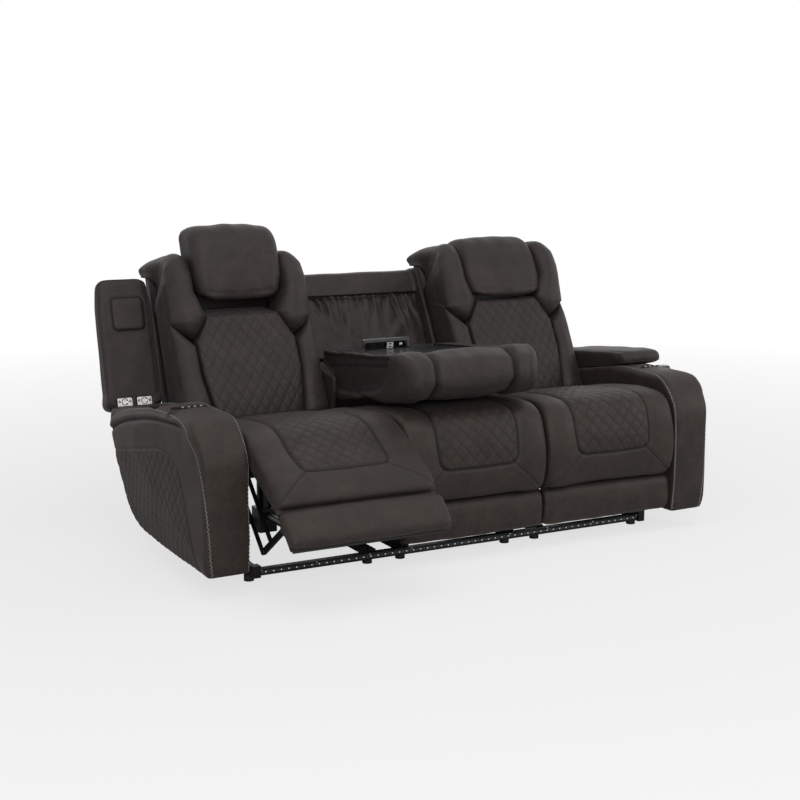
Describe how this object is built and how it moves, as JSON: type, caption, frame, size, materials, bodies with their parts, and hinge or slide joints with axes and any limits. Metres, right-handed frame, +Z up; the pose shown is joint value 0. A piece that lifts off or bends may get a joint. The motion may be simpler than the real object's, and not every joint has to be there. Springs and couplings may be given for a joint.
{
  "type": "sofa with drop down console",
  "caption": "Power reclining sofa: quilted seats with linked footrests, backs with lifting headrests, lidded storage arms, and a middle back that folds down as a console.",
  "frame": {"origin": "on the floor, under the centre of the box round the sofa as it is stored", "axes": "+X to the sofa's right as seen from its front, +Y to its rear, +Z up"},
  "size_m": [2.208, 1.4346, 1.1762],
  "materials": {
    "upholstery": "matte leather-look",
    "frame_steel": "satin black",
    "link_steel": "black",
    "light_diffuser": "frosted",
    "glide_plastic": "matte",
    "deck_board": "plain",
    "bin_plastic": "matte",
    "bezel_plastic": "gloss",
    "button_plastic": "satin",
    "hinge_chrome": "polished",
    "tray_plastic": "fine texture",
    "cup_steel": "brushed",
    "power_plastic": "gloss"
  },
  "bodies": {
    "base": {"base_rails": "frame_steel", "light_bar": "frame_steel", "light_strip": "light_diffuser", "glides": "glide_plastic", "left_arm_body": "upholstery", "right_arm_body": "upholstery", "arm_bins": "bin_plastic", "control_bezels": "bezel_plastic", "lid_hinge_arms": "hinge_chrome", "mechanism_bases": "frame_steel", "recline_drives": "frame_steel", "middle_seat_cushion": "upholstery", "middle_front_pad": "upholstery", "middle_seat_deck": "deck_board", "middle_back_frame": "upholstery", "middle_gathered_panel": "upholstery", "console_hinge_brackets": "frame_steel"},
    "left_seat": {"left_seat_cushion": "upholstery", "left_seat_deck": "frame_steel"},
    "left_back": {"left_back_frame": "upholstery", "left_back_quilt": "upholstery", "left_back_bolsters": "upholstery"},
    "left_headrest_slide": {"left_headrest_carrier": "frame_steel"},
    "left_headrest_pillow": {"left_headrest": "upholstery"},
    "left_chaise": {"left_chaise_pad": "upholstery"},
    "left_footrest": {"left_footrest_board": "deck_board", "left_footrest_pad": "upholstery"},
    "left_rear_link_pair": {"left_rear_links": "link_steel"},
    "left_front_link_pair": {"left_front_links": "link_steel"},
    "left_control_link_pair": {"left_control_links": "link_steel"},
    "left_lid": {"left_arm_lid": "upholstery", "left_lid_hinges": "hinge_chrome"},
    "left_button_1": {"left_button_1": "button_plastic"},
    "left_button_2": {"left_button_2": "button_plastic"},
    "left_button_3": {"left_button_3": "button_plastic"},
    "left_button_4": {"left_button_4": "button_plastic"},
    "right_seat": {"right_seat_cushion": "upholstery", "right_seat_deck": "frame_steel"},
    "right_back": {"right_back_frame": "upholstery", "right_back_quilt": "upholstery", "right_back_bolsters": "upholstery"},
    "right_headrest_slide": {"right_headrest_carrier": "frame_steel"},
    "right_headrest_pillow": {"right_headrest": "upholstery"},
    "right_chaise": {"right_chaise_pad": "upholstery"},
    "right_footrest": {"right_footrest_board": "deck_board", "right_footrest_pad": "upholstery"},
    "right_rear_link_pair": {"right_rear_links": "link_steel"},
    "right_front_link_pair": {"right_front_links": "link_steel"},
    "right_control_link_pair": {"right_control_links": "link_steel"},
    "right_lid": {"right_arm_lid": "upholstery", "right_lid_hinges": "hinge_chrome"},
    "right_button_1": {"right_button_1": "button_plastic"},
    "right_button_2": {"right_button_2": "button_plastic"},
    "right_button_3": {"right_button_3": "button_plastic"},
    "right_button_4": {"right_button_4": "button_plastic"},
    "console": {"console_cushion": "upholstery", "console_tray": "tray_plastic", "console_cup_holders": "cup_steel"},
    "power_panel": {"console_power_panel": "power_plastic"}
  },
  "joints": [
    {"name": "left_seat_slide", "type": "slide", "parent": "base", "child": "left_seat", "axis": [0, -1, 0], "range_m": [0, 0.08]},
    {"name": "left_back_recline", "type": "hinge", "parent": "left_seat", "child": "left_back", "pos_m": [-0.59, 0.25339, 0.33], "axis": [-1, 0, 0], "range_deg": [0, 32]},
    {"name": "left_headrest_lift", "type": "slide", "parent": "left_back", "child": "left_headrest_slide", "axis": [0, 0.3236, 0.9462], "range_m": [-0.07, 0.005]},
    {"name": "left_chaise_open", "type": "hinge", "parent": "left_seat", "child": "left_chaise", "pos_m": [-0.59, -0.38661, 0.5], "axis": [-1, 0, 0], "range_deg": [-64, 36]},
    {"name": "left_footrest_fold", "type": "hinge", "parent": "left_chaise", "child": "left_footrest", "pos_m": [-0.59, -0.60745, 0.32776], "axis": [-1, 0, 0], "range_deg": [-10.18, 18.02]},
    {"name": "left_rear_link", "type": "hinge", "parent": "left_seat", "child": "left_rear_link_pair", "pos_m": [-0.59, -0.20391, 0.372], "axis": [-1, 0, 0], "range_deg": [-62.81, 35.38]},
    {"name": "left_front_link", "type": "hinge", "parent": "left_rear_link_pair", "child": "left_front_link_pair", "pos_m": [-0.59, -0.42788, 0.1651], "axis": [-1, 0, 0], "range_deg": [-36.82, 65.37]},
    {"name": "left_control_link", "type": "hinge", "parent": "left_seat", "child": "left_control_link_pair", "pos_m": [-0.59, -0.25191, 0.408], "axis": [-1, 0, 0], "range_deg": [-62.81, 35.38]},
    {"name": "left_headrest_tilt", "type": "hinge", "parent": "left_headrest_slide", "child": "left_headrest_pillow", "pos_m": [-0.59, 0.49104, 0.97123], "axis": [1, 0, 0], "range_deg": [-15.34, 1.19]},
    {"name": "left_lid_hinge", "type": "hinge", "parent": "base", "child": "left_lid", "pos_m": [-1.002, 0.44839, 0.5293], "axis": [-1, 0, 0], "range_deg": [-96, 0]},
    {"name": "left_button_1_press", "type": "slide", "parent": "base", "child": "left_button_1", "axis": [0, 0, -1], "range_m": [0, 0.001], "stiffness_N_per_m": 500},
    {"name": "left_button_2_press", "type": "slide", "parent": "base", "child": "left_button_2", "axis": [0, 0, -1], "range_m": [0, 0.001], "stiffness_N_per_m": 500},
    {"name": "left_button_3_press", "type": "slide", "parent": "base", "child": "left_button_3", "axis": [0, 0, -1], "range_m": [0, 0.001], "stiffness_N_per_m": 500},
    {"name": "left_button_4_press", "type": "slide", "parent": "base", "child": "left_button_4", "axis": [0, 0, -1], "range_m": [0, 0.001], "stiffness_N_per_m": 500},
    {"name": "right_seat_slide", "type": "slide", "parent": "base", "child": "right_seat", "axis": [0, -1, 0], "range_m": [0, 0.08]},
    {"name": "right_back_recline", "type": "hinge", "parent": "right_seat", "child": "right_back", "pos_m": [0.59, 0.25339, 0.33], "axis": [-1, 0, 0], "range_deg": [0, 32]},
    {"name": "right_headrest_lift", "type": "slide", "parent": "right_back", "child": "right_headrest_slide", "axis": [0, 0.3236, 0.9462], "range_m": [0, 0.075]},
    {"name": "right_chaise_open", "type": "hinge", "parent": "right_seat", "child": "right_chaise", "pos_m": [0.59, -0.38661, 0.5], "axis": [-1, 0, 0], "range_deg": [0, 100]},
    {"name": "right_footrest_fold", "type": "hinge", "parent": "right_chaise", "child": "right_footrest", "pos_m": [0.59, -0.32861, 0.226], "axis": [-1, 0, 0], "range_deg": [-28.1, 0.1]},
    {"name": "right_rear_link", "type": "hinge", "parent": "right_seat", "child": "right_rear_link_pair", "pos_m": [0.59, -0.20391, 0.372], "axis": [-1, 0, 0], "range_deg": [-0.1, 98.09]},
    {"name": "right_front_link", "type": "hinge", "parent": "right_rear_link_pair", "child": "right_front_link_pair", "pos_m": [0.59, -0.12271, 0.0781], "axis": [-1, 0, 0], "range_deg": [-102.09, 0.1]},
    {"name": "right_control_link", "type": "hinge", "parent": "right_seat", "child": "right_control_link_pair", "pos_m": [0.59, -0.25191, 0.408], "axis": [-1, 0, 0], "range_deg": [-0.1, 98.09]},
    {"name": "right_headrest_tilt", "type": "hinge", "parent": "right_headrest_slide", "child": "right_headrest_pillow", "pos_m": [0.59, 0.46839, 0.905], "axis": [1, 0, 0], "range_deg": [-0.1, 16.43]},
    {"name": "right_lid_hinge", "type": "hinge", "parent": "base", "child": "right_lid", "pos_m": [1.002, 0.44839, 0.5293], "axis": [-1, 0, 0], "range_deg": [0, 96]},
    {"name": "right_button_1_press", "type": "slide", "parent": "base", "child": "right_button_1", "axis": [0, 0, -1], "range_m": [0, 0.001], "stiffness_N_per_m": 500},
    {"name": "right_button_2_press", "type": "slide", "parent": "base", "child": "right_button_2", "axis": [0, 0, -1], "range_m": [0, 0.001], "stiffness_N_per_m": 500},
    {"name": "right_button_3_press", "type": "slide", "parent": "base", "child": "right_button_3", "axis": [0, 0, -1], "range_m": [0, 0.001], "stiffness_N_per_m": 500},
    {"name": "right_button_4_press", "type": "slide", "parent": "base", "child": "right_button_4", "axis": [0, 0, -1], "range_m": [0, 0.001], "stiffness_N_per_m": 500},
    {"name": "console_fold", "type": "hinge", "parent": "base", "child": "console", "pos_m": [0, 0.25339, 0.562], "axis": [-1, 0, 0], "range_deg": [0, 113]},
    {"name": "power_panel_flip", "type": "hinge", "parent": "console", "child": "power_panel", "pos_m": [0, 0.34641, 0.68701], "axis": [-1, 0, 0], "range_deg": [-74, 10]}
  ],
  "couplings": [
    {"joint": "left_back_recline", "follows": "left_seat_slide", "rad_per_m": 6.981},
    {"joint": "left_headrest_tilt", "follows": "left_headrest_lift", "rad_per_m": 3.8},
    {"joint": "left_footrest_fold", "follows": "left_chaise_open", "ratio": -0.28},
    {"joint": "left_rear_link", "follows": "left_chaise_open", "ratio": 0.9799},
    {"joint": "left_front_link", "follows": "left_chaise_open", "ratio": -1.0199},
    {"joint": "left_control_link", "follows": "left_chaise_open", "ratio": 0.9799},
    {"joint": "right_back_recline", "follows": "right_seat_slide", "rad_per_m": 6.981},
    {"joint": "right_headrest_tilt", "follows": "right_headrest_lift", "rad_per_m": 3.8},
    {"joint": "right_footrest_fold", "follows": "right_chaise_open", "ratio": -0.28},
    {"joint": "right_rear_link", "follows": "right_chaise_open", "ratio": 0.9799},
    {"joint": "right_front_link", "follows": "right_chaise_open", "ratio": -1.0199},
    {"joint": "right_control_link", "follows": "right_chaise_open", "ratio": 0.9799}
  ]
}
